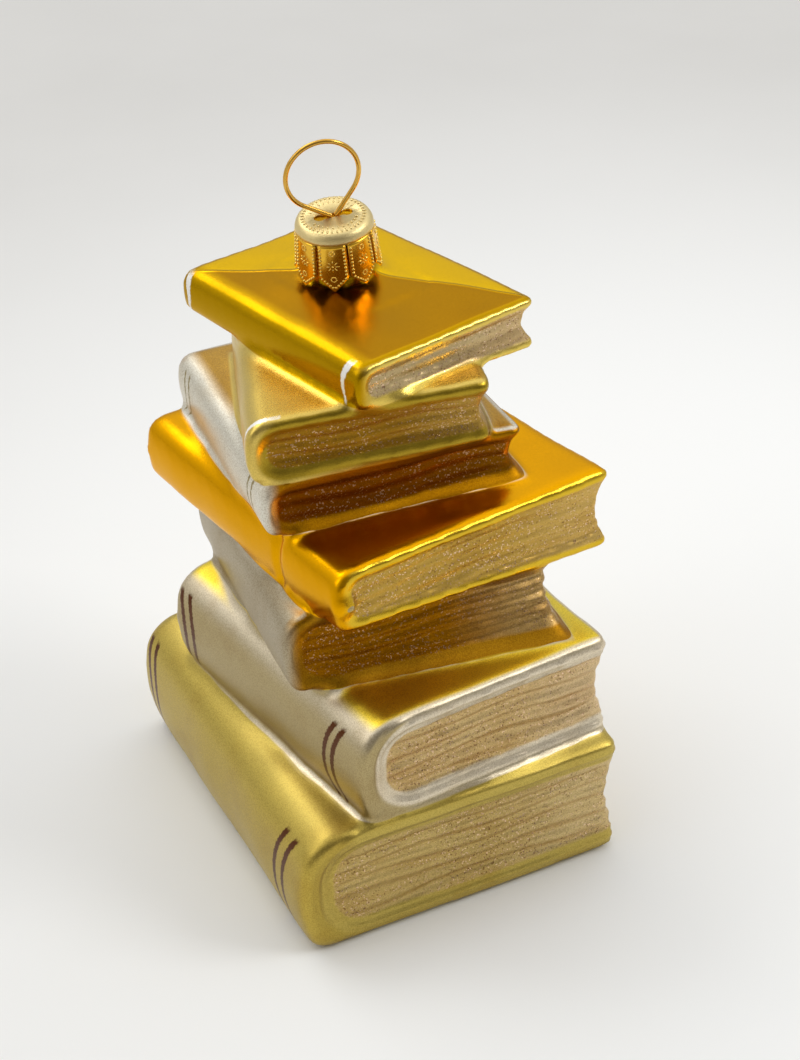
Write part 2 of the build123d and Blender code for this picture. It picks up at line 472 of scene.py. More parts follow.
def push_section(target, book, outline, start, end, rounding):
    bm = bmesh.new()
    rings = []
    for y, ring in slices(outline, start, end, rounding):
        rings.append([bm.verts.new(book.place(Vector((x, y, z)))) for x, z in ring])
    for first, second in zip(rings, rings[1:]):
        for a in range(len(first)):
            b = (a + 1) % len(first)
            bm.faces.new((first[a], first[b], second[b], second[a]))
    for ring in (rings[0], rings[-1]):
        for a in range(len(ring) // 2 - 1):
            bm.faces.new((ring[a], ring[a + 1], ring[-a - 2], ring[-a - 1]))
    bmesh.ops.recalc_face_normals(bm, faces=bm.faces)
    add_mesh(target, bm)


def add_book(target, book):
    push_section(target, book, cover_outline(book), 0, book.length, board_round * book.rim)
    push_section(target, book, page_outline(book), page_recess, book.length - page_recess, 0)


# %% [markdown]
# The neck stands on the top book and leans a little, as the real one does. It is a lathe profile, so it is
# spun about its own axis: a ring of glass at its foot, then the straight tube that the cap sits on.

# %% The neck
neck_from_book = Vector((-1.1, 3.0, 0))
neck_lean = (4.8, -5.6)
neck_radius = 5.25
neck_height = 11.9
ledge_radius = 7.0
ledge_height = 1.5
ledge_bevel = 0.5
root_depth = 3
lathe_steps = 72
top_book = books[-1]
neck_place = Vector((top_book.x, top_book.y, stack_top)) + neck_from_book
neck_frame = (
    Matrix.Translation(neck_place * MM)
    @ Matrix.Rotation(radians(neck_lean[0]), 4, "X")
    @ Matrix.Rotation(radians(neck_lean[1]), 4, "Y")
    @ Matrix.Scale(MM, 4)
)


def lathe(bm, profile, steps=lathe_steps):
    """Spins a profile of (radius, height) points about Z. Points on the axis close the ends."""
    verts = [bm.verts.new((r, 0, z)) for r, z in profile]
    edges = [bm.edges.new(pair) for pair in zip(verts, verts[1:])]
    bmesh.ops.spin(
        bm, geom=verts + edges, cent=(0, 0, 0), axis=(0, 0, 1), angle=2 * pi, steps=steps, use_merge=True,
    )
    bmesh.ops.remove_doubles(bm, verts=bm.verts, dist=1e-5)
    bmesh.ops.recalc_face_normals(bm, faces=bm.faces)


def add_neck(target):
    bm = bmesh.new()
    profile = [
        (0, -root_depth), (ledge_radius, -root_depth), (ledge_radius, ledge_height - ledge_bevel),
        (ledge_radius - ledge_bevel, ledge_height), (neck_radius, ledge_height),
        (neck_radius, neck_height), (0, neck_height),
    ]
    lathe(bm, profile)
    bmesh.ops.transform(bm, matrix=neck_frame, verts=bm.verts)
    add_mesh(target, bm)


# %% [markdown]
# The top cover is not flat. The mould parts along a line from corner to corner through the neck, and the
# glass rises gently towards it like a low hipped roof. Its middle is the foot of the neck.

# %% The low roof of the top book
roof_rise = 1.55
eaves_inset = 1.2
eaves_drop = 0.05
roof_depth = 2.0


def add_roof(target):
    bm = bmesh.new()
    near, top = eaves_inset, top_book.thickness
    right, far = top_book.tail_width - eaves_inset, top_book.length - eaves_inset
    corners = [(near, near), (right, near), (right, far), (near, far)]
    foot = [top_book.place(Vector((x, y, top - roof_depth))) for x, y in corners]
    eaves = [top_book.place(Vector((x, y, top - eaves_drop))) for x, y in corners]
    low = [bm.verts.new(p) for p in foot]
    high = [bm.verts.new(p) for p in eaves]
    apex = bm.verts.new((neck_place + Vector((0, 0, roof_rise))) * MM)
    bm.faces.new(low)
    for a in range(4):
        b = (a + 1) % 4
        bm.faces.new((low[a], low[b], high[b], high[a]))
        bm.faces.new((high[a], high[b], apex))
    bmesh.ops.recalc_face_normals(bm, faces=bm.faces)
    add_mesh(target, bm)


# %% [markdown]
# Blown glass is one skin: the books flow into each other with soft creases. A voxel remesh melts all the
# parts into one closed surface, and rounds of smoothing then draw it soft. Thick books at the bottom were
# blown fuller than the crisp glossy ones, so each book has its own number of rounds.

# %% Melt the parts into one skin
voxel = 0.66 * MM
crease_reach = 1.3
crease_rounds = 8
facing_nudge = 0.45
underside_skin = 0.1
outline_margin = 0.8
above_margin = 1.0
below_margin = 0.5


def book_at(p, facing=0.0):
    """Which book a point of the skin belongs to. In a crease, an upper face goes with the lower book."""
    owner = books[0]
    for book in books[1:]:
        q = local(book, p)
        share = min(max(q.x / book.tail_width, 0), 1)
        above = q.z + book.sag * share - facing_nudge * facing > underside_skin
        if above and inside(book, q) > -outline_margin:
            owner = book
    return owner


def local(book, p):
    """A point of the frame in the book's own millimetres."""
    across, along = book.directions()
    flat = Vector((p.x / MM - book.x, p.y / MM - book.y, 0))
    det = across.x * along.y - across.y * along.x
    side = (flat.x * along.y - flat.y * along.x) / det
    way = (across.x * flat.y - across.y * flat.x) / det
    y = way + book.length / 2
    share = side / book.width_at(y) + 0.5
    z = p.z / MM - book.level
    set_back = book.lean * share * z / book.thickness
    y = (y - set_back) / (1 - set_back / book.length)
    return Vector((share * book.tail_width, y, z))


def melt_together():
    bm = bmesh.new()
    for book in books:
        add_book(bm, book)
    add_neck(bm)
    add_roof(bm)
    holder = settle(bm, "rough_skin")
    remesh = holder.modifiers.new("melt", "REMESH")
    remesh.mode = "VOXEL"
    remesh.voxel_size = voxel
    remesh.adaptivity = 0.0
    ready = holder.evaluated_get(bpy.context.evaluated_depsgraph_get())
    skin = bpy.data.meshes.new_from_object(ready)
    bpy.data.objects.remove(holder)
    return skin


def inside(book, q):
    """How far a point lies inside the outline of a book, seen from above."""
    return min(q.x, book.tail_width - q.x, q.y, book.length - q.y)


def in_crease(place):
    """Whether a point lies where two books touch, and the glass flowed together."""
    for below, above in zip(books, books[1:]):
        q = local(above, place)
        low = -above.sag * min(max(q.x / above.tail_width, 0), 1)
        near = abs(q.z - low) < crease_reach
        if near and inside(above, q) > -above_margin and inside(below, local(below, place)) > -below_margin:
            return True
    return False


def smooth(bm, verts):
    """One round of smoothing in all three directions."""
    bmesh.ops.smooth_vert(bm, verts=verts, factor=0.5, use_axis_x=True, use_axis_y=True, use_axis_z=True)


def soften(bm):
    rounds = []
    for vert in bm.verts:
        extra = crease_rounds if in_crease(vert.co) else 0
        rounds.append((vert, book_at(vert.co).softness + extra))
    for count in range(max(number for vert, number in rounds)):
        chosen = [vert for vert, number in rounds if number > count]
        smooth(bm, chosen)


def make_skin():
    mesh = melt_together()
    bm = bmesh.new()
    bm.from_mesh(mesh)
    soften(bm)
    bmesh.ops.recalc_face_normals(bm, faces=bm.faces)
    for face in bm.faces:
        face.smooth = True
    bm.to_mesh(mesh)
    bm.free()
    mesh.name = "glass_skin"
    skin = bpy.data.objects.new("glass_skin", mesh)
    scene.collection.objects.link(skin)
    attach(skin, "root")
    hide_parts("glass_body")
    print("skin faces", len(mesh.polygons))
    return skin


skin = make_skin()

# %% [markdown]
# Moulded pages are ridges along the book, cut by hand into the mould, so no two are quite alike. Round
# the ends of the two big books the cover is stepped like ripples. Both are gentle, and are laid on by
# moving the skin in or out along its own normal.

# %% Ridges and ripples
ridge_depth = 0.32
thin_share = 0.6
thick_book = 16
wide_pitch = 3.1
narrow_pitch = 2.3
corner_share = 0.3
rippled_rim = 3
ripple_depth = 0.13
ripple_pitch = 1.5
wobble_depth = 0.30
wobble_scale = 0.09
wobble_free_height = 3
page_corner_share = 0.8
fold_place = 17.5
fold_depth = 0.7
fold_width = 0.9
fold_slant = 0.25
hinge_reach = 9
knob_place = Vector((2.4, 0.4, 5.4))
knob_height = 1.9
knob_width = 1.7
end_reach = 1.2
fore_reach = 2.6
steep = 0.6
roof_clear = 0.7


def page_distance(book, p):
    """How far a point of a book's end lies outside the block of pages; less than 0 is inside it."""
    share = p.x / book.tail_width
    low, high = -book.sag * share, book.thickness - book.droop * share**2
    middle = (low + high) / 2
    half = (high - low) / 2 - book.rim
    corner = page_corner_share * half
    left = book.rim + spine_bulge * book.thickness + corner - p.x
    over = abs(p.z - middle) - (half - corner)
    return sqrt(max(left, 0) ** 2 + max(over, 0) ** 2) - corner + min(max(left, over), 0)


def relief(book, p, place, normal):
    """How far the skin is moved outward at one point, in millimetres."""
    free = min(place.z / wobble_free_height, 1)
    amount = wobble_depth * free * noise.noise(place * wobble_scale)
    if book.name == "amber" and p.x < hinge_reach:
        amount -= fold_depth * exp(-(((p.y - fold_place + fold_slant * p.x) / fold_width) ** 2))
        amount += knob_height * exp(-(((p - knob_place).length / knob_width) ** 2))
    if abs(normal.z) > steep:
        return amount
    d = page_distance(book, p)
    thick = book.thickness > thick_book
    pitch, depth = (wide_pitch, ridge_depth) if thick else (narrow_pitch, thin_share * ridge_depth)
    at_end = min(p.y, book.length - p.y) < page_recess + end_reach
    at_fore_edge = p.x > book.tail_width - fore_reach
    if at_end or at_fore_edge:
        if d < 0:
            wander = noise.noise(Vector((place.x * 0.05, place.y * 0.05, place.z * 0.12)))
            wave = sin(2 * pi * place.z / pitch + 4 * wander)
            fade = min(-d, 1.0) * (corner_share if at_end and at_fore_edge else 1.0)
            amount += fade * depth * (wave + 0.5 * noise.noise(place * 0.4))
        elif at_end and book.rim > rippled_rim and d < book.rim + 1:
            amount += ripple_depth * cos(2 * pi * d / ripple_pitch)
    return amount


def lay_relief(mesh):
    bm = bmesh.new()
    bm.from_mesh(mesh)
    bm.normal_update()
    moves = []
    for vert in bm.verts:
        place = vert.co / MM
        if place.z > stack_top + roof_clear:
            continue
        book = book_at(vert.co, vert.normal.z)
        amount = relief(book, local(book, vert.co), place, vert.normal)
        moves.append((vert, vert.normal * amount * MM))
    for vert, move in moves:
        vert.co += move
        vert.co.z = max(vert.co.z, 0)
    bm.to_mesh(mesh)
    bm.free()


lay_relief(skin.data)

# %% [markdown]
# ## The finish
# The glass is silvered inside, so it shines like metal, and the tint is transparent lacquer over it.
# Each book was sprayed by itself: a colour for the cover, another for the flat of its upper board and
# one for the pages, with its own shine. On the silver, pearl and cream books the amber in these colours
# is partly painted reflection and shade of the amber book near them. Glitter was sprinkled on the pages
# while they were wet. The groove is the rim between cover and pages, and its reach says how wide that
# colour runs. The crest is how far the rolled edges take the groove's paler colour.

# %% The coats
@dataclass
class Coat:
    cover: tuple
    upper: tuple
    pages: tuple
    groove: tuple
    pages_far: tuple
    rough: float
    upper_rough: float
    glitter: float
    crest: float
    reach: float


coats = {
    "folio": Coat(
        colour(200, 176, 84), colour(192, 170, 86), colour(214, 188, 120), colour(206, 184, 96),
        colour(226, 202, 146), 0.37, 0.34, 1.0, 0.3, 3.2,
    ),
    # Painted reflection: the amber-yellow upper board stands for the amber pages above that it mirrors.
    "silver": Coat(
        colour(186, 168, 122), colour(246, 220, 70), colour(222, 194, 136), colour(236, 224, 200),
        colour(226, 200, 154), 0.36, 0.32, 1.0, 0.8, 2.8,
    ),
    # Painted reflection and shade of the amber book over it: the amber and brown of pages, groove and upper.
    "pearl": Coat(
        colour(188, 176, 150), colour(170, 120, 40), colour(168, 112, 4), colour(172, 124, 22),
        colour(196, 164, 104), 0.42, 0.30, 0.6, 0.0, 4.2,
    ),
    "amber": Coat(
        colour(236, 168, 2), colour(236, 168, 8), colour(200, 164, 78), colour(222, 184, 50),
        colour(210, 176, 100), 0.22, 0.15, 0.9, 0.0, 2.4,
    ),
    # Painted reflection: the amber-brown pages and groove stand for the glossy amber book below, mirrored.
    "cream": Coat(
        colour(236, 232, 218), colour(200, 156, 60), colour(144, 84, 0), colour(180, 124, 8),
        colour(150, 100, 10), 0.40, 0.30, 0.5, 0.0, 3.9,
    ),
    "champagne": Coat(
        colour(228, 200, 104), colour(224, 190, 88), colour(166, 124, 34), colour(178, 150, 46),
        colour(186, 150, 70), 0.30, 0.27, 0.7, 0.0, 2.4,
    ),
    "top": Coat(
        colour(190, 146, 4), colour(255, 206, 14), colour(202, 180, 134), colour(226, 198, 96),
        colour(214, 188, 140), 0.23, 0.20, 1.0, 0.0, 2.4,
    ),
}

# %% [markdown]
# A place on a book is measured from planes: how far it lies inside the tail, the head, the spine and the
# fore edge. From these come the masks, each 0 or 1 with a soft step. Height is nudged by the way the
# surface faces, so that in the creases an upper face goes with the book below and a lower face with the
# book above.

# %% Where a place lies on a book
end_band = (2.6, 1.9)
fore_band = (3.4, 2.6)
flat_facing = (0.92, 0.72)
upper_inset = (1.0, 1.8)
hinge_inset = (1.5, 4.5)
underside_step = (-0.1, 0.3)
outline_step = (-1.1, -0.5)


def past(tree, place, point, direction):
    """How far a place lies past an upright plane through a point, in millimetres."""
    direction = Vector((direction.x, direction.y, 0)).normalized()
    made = node(tree, "VectorMath", {"operation": "DOT_PRODUCT"}, {0: place, 1: direction})
    return Value(tree, made.outputs["Value"]) - point.dot(direction)


class Spot:
    """Distances inside one book's four sides, and the height above its underside."""

    def __init__(self, tree, book, place, height):
        a, b, c, d = [
            book.place(Vector((x, y, 0))) / MM
            for x, y in ((0, 0), (book.tail_width, 0), (book.tail_width, book.length), (0, book.length))
        ]
        self.book = book
        self.tail = past(tree, place, a, Vector((a.y - b.y, b.x - a.x, 0)))
        self.head = past(tree, place, d, Vector((d.y - c.y, c.x - d.x, 0)) * -1)
        self.spine = past(tree, place, a, Vector((d.y - a.y, a.x - d.x, 0)))
        self.fore = past(tree, place, b, Vector((c.y - b.y, b.x - c.x, 0)) * -1)
        self.up = height - book.level
        share = self.spine / book.tail_width
        self.low = share * -book.sag
        self.high = book.thickness - share * share * book.droop
        if book.lean:
            self.tail = self.tail - share * self.up * (book.lean / book.thickness)

    def page_distance(self):
        """How far a place on a book's end lies outside the block of pages; less than 0 is inside it."""
        book = self.book
        middle = (self.low + self.high) * 0.5
        half = (self.high - self.low) * 0.5 - book.rim
        corner = half * page_corner_share
        left = corner + (book.rim + spine_bulge * book.thickness) - self.spine
        over = (self.up - middle).size() - (half - corner)
        outward = (left.most(0).power(2) + over.most(0).power(2)).root()
        return outward - corner + left.most(over).least(0)

    def edges(self, facing):
        """1 on the tail, the head and the fore edge, where the pages show, down into the crease below."""
        near = self.tail.least(self.head).ramp(*end_band).most(self.fore.ramp(*fore_band))
        low_down = (self.up - self.low).ramp(0.5 * self.book.thickness, 0.3 * self.book.thickness)
        return near * facing.ramp(*flat_facing).most(low_down)

    def upper(self, facing_up):
        """1 on the flat of the upper board, a little way in from its edges."""
        inside = self.tail.least(self.fore).least(self.head).ramp(*upper_inset)
        return inside * self.spine.ramp(*hinge_inset) * facing_up

    def owns(self):
        """1 from this book's underside up, within its outline."""
        inside = self.tail.least(self.head).least(self.spine).least(self.fore)
        return (self.up - self.low).ramp(*underside_step) * inside.ramp(*outline_step)


# %% [markdown]
# The strokes on the spines were painted by hand, so their edges wander. Most books have a pair at each
# end of the spine. A stroke's taper is how much it narrows, and its cover is how much shine it takes away.

# %% Painted strokes
@dataclass
class Strokes:
    places: tuple
    width: float
    tint: tuple
    low: float
    high: float
    taper: float
    cover: float


brown = colour(92, 48, 14)
olive = colour(140, 120, 52)
warm_white = colour(255, 252, 244)
clear_white = colour(255, 253, 248)
spine_bow = 0.11
hand_wander = 0.7
brush_edge = 0.15
spine_reach = (6.2, 5.6)
strokes = {
    "folio": Strokes((8.4, 11.6, 64.5, 67.2), 1.25, brown, -0.5, 20.8, 0.2, 0.1),
    "silver": Strokes((8.4, 10.8, 51.4, 54.0), 1.2, brown, 1.0, 16.5, 0.2, 0.1),
    "cream": Strokes((6.6, 8.4, 39.5, 41.6), 0.55, olive, 0.5, 8.5, 0.2, 0.4),
    "champagne": Strokes((2.4,), 0.95, warm_white, 5.0, 11.4, 0.8, 0.9),
    "top": Strokes((4.0, 43.2), 1.4, clear_white, 0.4, 7.2, 0.8, 0.9),
}


def painted(spot, stroke, wander):
    """1 where a stroke was painted on the spine. The strokes bow towards the middle of the book."""
    book = spot.book
    middle = (stroke.low + stroke.high) / 2
    off_middle = (spot.up - middle) / (stroke.high - middle)
    bow = off_middle.power(2) * (spine_bow * book.thickness)
    width = (off_middle * (stroke.taper / 2) + 1 - stroke.taper / 2) * (stroke.width / 2)
    mask = None
    for at in stroke.places:
        side = 1 if at < book.length / 2 else -1
        off = (spot.tail - at + bow * side + (wander - 0.5) * hand_wander).size() - width
        line = off.ramp(brush_edge, -brush_edge)
        mask = mask.most(line) if mask else line
    ragged = spot.up + wander * 0.6
    ends = ragged.ramp(stroke.low, stroke.low + 1.0) * ragged.ramp(stroke.high + 0.3, stroke.high - 0.4)
    return mask * ends * spot.spine.ramp(*spine_reach)


# %% [markdown]
# The noises of a lacquer are made once and shared: fine grain for the sprayed satin, broad clouds for its
# uneven thickness, long streaks for the pages, and small cells for the flakes of glitter. The top book
# has a darker front of painted shade, on this side of the mould line that runs over its roof.

# %% The noises and the mould line
flakes_per_mm = 4.2
streak_stretch = (0.06, 0.06, 0.5)


class Noises:
    """Grain, clouds and streaks, and two lots drawn for each flake of glitter."""

    def __init__(self, tree, place):
        self.grain = noise_at(tree, place, 4.5, 2.0, 0.7)
        self.cloud = noise_at(tree, place, 0.10, 2.0, 0.55)
        self.streak = noise_at(tree, place, 1.0, 2.0, 0.5, streak_stretch)
        flake = node(tree, "TexVoronoi", None, {"Vector": place, "Scale": flakes_per_mm})
        shade = node(tree, "SeparateColor", None, {0: flake.outputs["Color"]})
        self.lot = Value(tree, shade.outputs[0])
        self.second_lot = Value(tree, shade.outputs[1])


def facets(tree, place):
    """How far a place on the top book lies in front of the mould line, where painted shade darkens it."""
    left_corner = top_book.place(Vector((0, top_book.length, 0))) / MM - neck_place
    right_corner = top_book.place(Vector((top_book.tail_width, 0, 0))) / MM - neck_place
    left = past(tree, place, neck_place, Vector((left_corner.y, -left_corner.x, 0)) * -1)
    right = past(tree, place, neck_place, Vector((right_corner.y, -right_corner.x, 0)))
    return left.least(right)


# %% [markdown]
# Glitter is flakes of colour: a few pale ones that catch the light and a few dark ones, thickest where
# the clouds and streaks are strong. Under it the page colour turns warmer towards the fore edge or away
# from it; on the pearl book this change is painted reflection and shade of the amber book over it. Wear
# then dulls the whole a little, more on the rough lacquers.

# %% Glitter and wear
pale_flake = colour(248, 212, 184)
dark_flake = colour(128, 84, 52)
page_shade = colour(214, 184, 134)
cloud_shade = colour(214, 190, 140)
grain_shade = colour(170, 150, 110)
page_edge = (0.35, -0.25)
glossiest = 0.15


def glitter_pages(tree, tint, coat, pages, noises):
    """The tint with streaks and flakes on the pages, and the mask of the pale flakes."""
    sparkle = pages * coat.glitter * (noises.cloud * 0.9 + noises.streak * 0.6).ramp(0.45, 0.85)
    tint = blend(tree, tint, page_shade, pages * noises.streak.ramp(0.40, 0.70) * 0.30, "MULTIPLY")
    bright = noises.lot.ramp(0.86, 0.92) * sparkle
    dark = noises.second_lot.ramp(0.90, 0.95) * sparkle
    tint = blend(tree, tint, pale_flake, bright * 0.6)
    return blend(tree, tint, dark_flake, dark * 0.7), bright


def dull(tree, tint, coat, noises):
    """The tint after clouds and grain have dulled it. A glossy coat is dulled least."""
    wear = coat.rough - glossiest
    tint = blend(tree, tint, cloud_shade, noises.cloud.ramp(0.45, 0.75) * wear * 1.2, "MULTIPLY")
    return blend(tree, tint, grain_shade, noises.grain.ramp(0.62, 0.35) * wear * 1.8, "MULTIPLY")


def feed_bumps(tree, shader, coat, pages, seam, noises):
    """Fine sprayed grain on the covers and glitter on the pages."""
    height = noises.grain * (coat.rough / 0.4) + seam * 3.0
    satin = node(tree, "Bump", None, {"Height": height, "Distance": 0.05 * MM, "Strength": 0.8})
    height = noises.lot * 0.55 + noises.streak * 0.3
    glitter = node(tree, "Bump", None, {"Height": height, "Distance": 0.08 * MM, "Strength": 1.0})
    both = node(tree, "Mix", {"data_type": "VECTOR"}, {4: satin.outputs[0], 5: glitter.outputs[0]})
    feed(tree, both.inputs[0], pages)
    feed(tree, shader.inputs["Normal"], both.outputs[1])


# %% [markdown]
# Each book has a lacquer of its own, made by one function. Where two books meet, both lacquers fade into
# each other by the same rule, so the edge between them is as soft as overspray.

# %% The lacquer
gloss_edge = colour(255, 242, 206)
# Painted shade: the darker brown laid on the front facet of the top book's roof.
front_facet_shade = colour(172, 118, 14)
glossy = 0.25
page_rough = 0.42
groove_fade = 0.9
groove_hinge = (0.2, 3.2)
upper_facing = (0.75, 0.93)
crest_facing = (0.1, 0.8)
seam_width = (0.45, 0.05)
facet_step = (-0.4, 0.4)


def spray(tree, book, coat, spot, facing, place):
    """The colours of one book before its strokes, with the masks of its pages, upper board and seam."""
    d = spot.page_distance()
    edges = spot.edges(facing)
    pages = d.ramp(*page_edge) * edges
    groove = d.ramp(coat.reach, coat.reach - groove_fade) * edges * spot.spine.ramp(*groove_hinge)
    upper = spot.upper(facing.ramp(*upper_facing))
    crest = blend(tree, coat.cover, coat.groove, facing.ramp(*crest_facing) * coat.crest)
    tint = blend(tree, crest, coat.upper, upper)
    seam = 0.0
    if book is top_book:
        line = facets(tree, place)
        seam = line.size().ramp(*seam_width) * upper
        # Painted shade on the front facet of the roof, in front of the mould line.
        tint = blend(tree, tint, front_facet_shade, line.ramp(*facet_step) * upper * 0.9)
    tint = blend(tree, tint, coat.groove, groove)
    # On the pearl book, the change of page colour towards the fore edge is painted reflection and shade.
    page_tint = blend(tree, coat.pages, coat.pages_far, spot.fore.ramp(0.45 * book.tail_width, 3))
    return blend(tree, tint, page_tint, pages), pages, upper, seam


def overspray(tree, tint, number, spot, place, height):
    """The tint with a little of the books below and above along the creases."""
    if number > 0:
        below = coats[books[number - 1].name].upper
        tint = blend(tree, below, tint, (spot.up - spot.low).ramp(*underside_step))
    if number + 1 < len(books):
        above = Spot(tree, books[number + 1], place, height)
        tint = blend(tree, tint, coats[books[number + 1].name].cover, above.owns())
    return tint


def make_lacquer(number):
    book = books[number]
    coat = coats[book.name]
    made, tree, shader, place = material("lacquer_" + book.name)
    if coat.rough < glossy:
        shader.inputs["Specular Tint"].default_value = gloss_edge
    normal = node(tree, "NewGeometry").outputs["Normal"]
    facing = Value(tree, node(tree, "SeparateXYZ", None, {0: normal}).outputs[2])
    height = Value(tree, node(tree, "SeparateXYZ", None, {0: place}).outputs[2]) - facing * facing_nudge
    spot = Spot(tree, book, place, height)
    noises = Noises(tree, place)
    tint, pages, upper, seam = spray(tree, book, coat, spot, facing, place)
    tint, bright = glitter_pages(tree, tint, coat, pages, noises)
    tint = dull(tree, tint, coat, noises)
    rough = upper * (coat.upper_rough - coat.rough) + coat.rough
    rough = rough + pages * (page_rough - coat.rough) + (noises.grain - 0.5) * 0.10 - bright * 0.25
    metal = 1.0
    if book.name in strokes:
        stroke = painted(spot, strokes[book.name], noise_at(tree, place, 2.2, 2.0))
        tint = blend(tree, tint, strokes[book.name].tint, stroke)
        metal = 1 - stroke * strokes[book.name].cover
    feed(tree, shader.inputs["Base Color"], overspray(tree, tint, number, spot, place, height))
    feed(tree, shader.inputs["Roughness"], rough)
    feed(tree, shader.inputs["Metallic"], metal)
    feed_bumps(tree, shader, coat, pages, seam, noises)
    return made


# %% [markdown]
# Every face of the skin takes the lacquer of the book it belongs to. The border between two lacquers
# follows the small squares of the melted mesh and would look like stairs, so it is drawn smooth: each
# point of a border moves towards the middle of its neighbours along that border.

# %% Coat the skin
border_rounds = 8


def straighten_borders(mesh):
    """Draws the stepped borders between two coats into smooth lines."""
    bm = bmesh.new()
    bm.from_mesh(mesh)
    joined = {}
    for edge in bm.edges:
        if len({face.material_index for face in edge.link_faces}) > 1:
            for vert in edge.verts:
                joined.setdefault(vert, []).append(edge.other_vert(vert))
    for count in range(border_rounds):
        middles = [sum((other.co for other in others), Vector()) / len(others) for others in joined.values()]
        for vert, middle in zip(joined, middles):
            vert.co = (vert.co + middle) / 2
    beside = {other for vert in joined for other in (edge.other_vert(vert) for edge in vert.link_edges)}
    smooth(bm, list(beside - set(joined)))
    bm.to_mesh(mesh)
    bm.free()


def coat_skin(mesh):
    for number in range(len(books)):
        mesh.materials.append(make_lacquer(number))
    for polygon in mesh.polygons:
        polygon.material_index = books.index(book_at(polygon.center, polygon.normal.z))
    straighten_borders(mesh)
    print("lacquers", [made.name for made in mesh.materials])


coat_skin(skin.data)

# %% [markdown]
# ## The cap
# The cap is stamped from thin brass sheet and gilded: a flat disc, a rounded shoulder and eight pointed
# petals, embossed with beads, rings and a small flower. The disc and shoulder are a lathe profile, the
# slot is cut through it, and the petals are a flat pattern bent round the cone.

# %% Sizes of the cap
cap_metal = 0.3
disc_radius = 5.5
disc_top = 12.2
shoulder_radius = 6.4
shoulder_drop = 1.9
petal_count = 8
petal_turn = -120.0
petal_flare = 0.65
petal_tip = 2.1
petal_point = 2.4
petal_gap = 0.35
slot_turn = -9.4
slot_length = 6.5
slot_width = 1.3
slot_end = 0.95
bead_radius = 0.28
bead_step = 0.64
petal_start = disc_top - shoulder_drop
petal_length = petal_start - petal_tip
print("petals from", petal_start, "to", petal_tip, "mm above the top book")

# %% [markdown]
# The disc and its rounded shoulder were drawn from sheet in one stroke of the press. A profile of the
# sheet is spun to a thin shell, and the slot is cut by a boolean, because its dog-bone outline would be
# slow to cut by hand. The cut is made exactly, so that its edges stay crisp.

# %% Disc and shoulder
shoulder_steps = 6
shoulder_start = 0.4
slot_cut = 2.0


def shoulder_line(inset):
    line = []
    for step in range(shoulder_steps + 1):
        angle = pi / 2 * step / shoulder_steps
        r = disc_radius - shoulder_start + (shoulder_radius - disc_radius + shoulder_start) * sin(angle)
        z = petal_start + shoulder_drop * cos(angle)
        line.append((r - inset, z - inset * cos(angle)))
    return line


def slot_outline(steps=10):
    """A dog bone: a narrow slit with a round at each end."""
    middle = slot_length / 2 - slot_end
    meet = asin(slot_width / 2 / slot_end)
    points = []
    for side in (1, -1):
        for step in range(steps + 1):
            angle = -(pi - meet) + 2 * (pi - meet) * step / steps
            points.append((side * (middle + slot_end * cos(angle)), side * slot_end * sin(angle)))
    return points


def cap_shell():
    """The disc and shoulder as one shell, with the slot cut through."""
    bm = bmesh.new()
    outer, inner = shoulder_line(0), shoulder_line(cap_metal)
    profile = [(0, disc_top)] + outer + inner[::-1] + [(0, disc_top - cap_metal)]
    lathe(bm, profile, 64)
    cutter_bm = bmesh.new()
    ring = [cutter_bm.verts.new((x, y, disc_top - slot_cut / 2)) for x, y in slot_outline()]
    face = cutter_bm.faces.new(ring)
    pushed = bmesh.ops.extrude_face_region(cutter_bm, geom=[face])
    far = [v for v in pushed["geom"] if isinstance(v, bmesh.types.BMVert)]
    bmesh.ops.translate(cutter_bm, verts=far, vec=(0, 0, slot_cut))
    bmesh.ops.rotate(cutter_bm, verts=cutter_bm.verts, matrix=Matrix.Rotation(radians(slot_turn), 3, "Z"))
    bmesh.ops.recalc_face_normals(cutter_bm, faces=cutter_bm.faces)
    holder, cutter = settle(bm, "shell"), settle(cutter_bm, "slot")
    cut = holder.modifiers.new("slot", "BOOLEAN")
    cut.operation = "DIFFERENCE"
    cut.object = cutter
    cut.solver = "EXACT"
    ready = holder.evaluated_get(bpy.context.evaluated_depsgraph_get())
    result = bmesh.new()
    result.from_mesh(ready.data)
    bpy.data.objects.remove(holder)
    bpy.data.objects.remove(cutter)
    return result


# %% [markdown]
# The petals hang from the shoulder round the neck of the glass, and flare a little. One petal is laid out
# flat, as the press cuts it, and bent round the cone; the other seven are copies turned about the axis.

# %% Petals
blunt_share = 0.999
blunt_half = 0.02


def on_cone(across, down, out=0.0):
    """A point of the flat petal pattern, bent round the cone: across, down from the shoulder, outward."""
    share = down / petal_length
    radius = shoulder_radius + petal_flare * share
    angle = across / radius
    return Vector(((radius + out) * sin(angle), -(radius + out) * cos(angle), petal_start - down))


def petal_half_width(down):
    share = down / petal_length
    radius = shoulder_radius + petal_flare * share
    full = pi * radius / petal_count - petal_gap / 2
    left = petal_length - down
    return full * min(left / petal_point, 1)


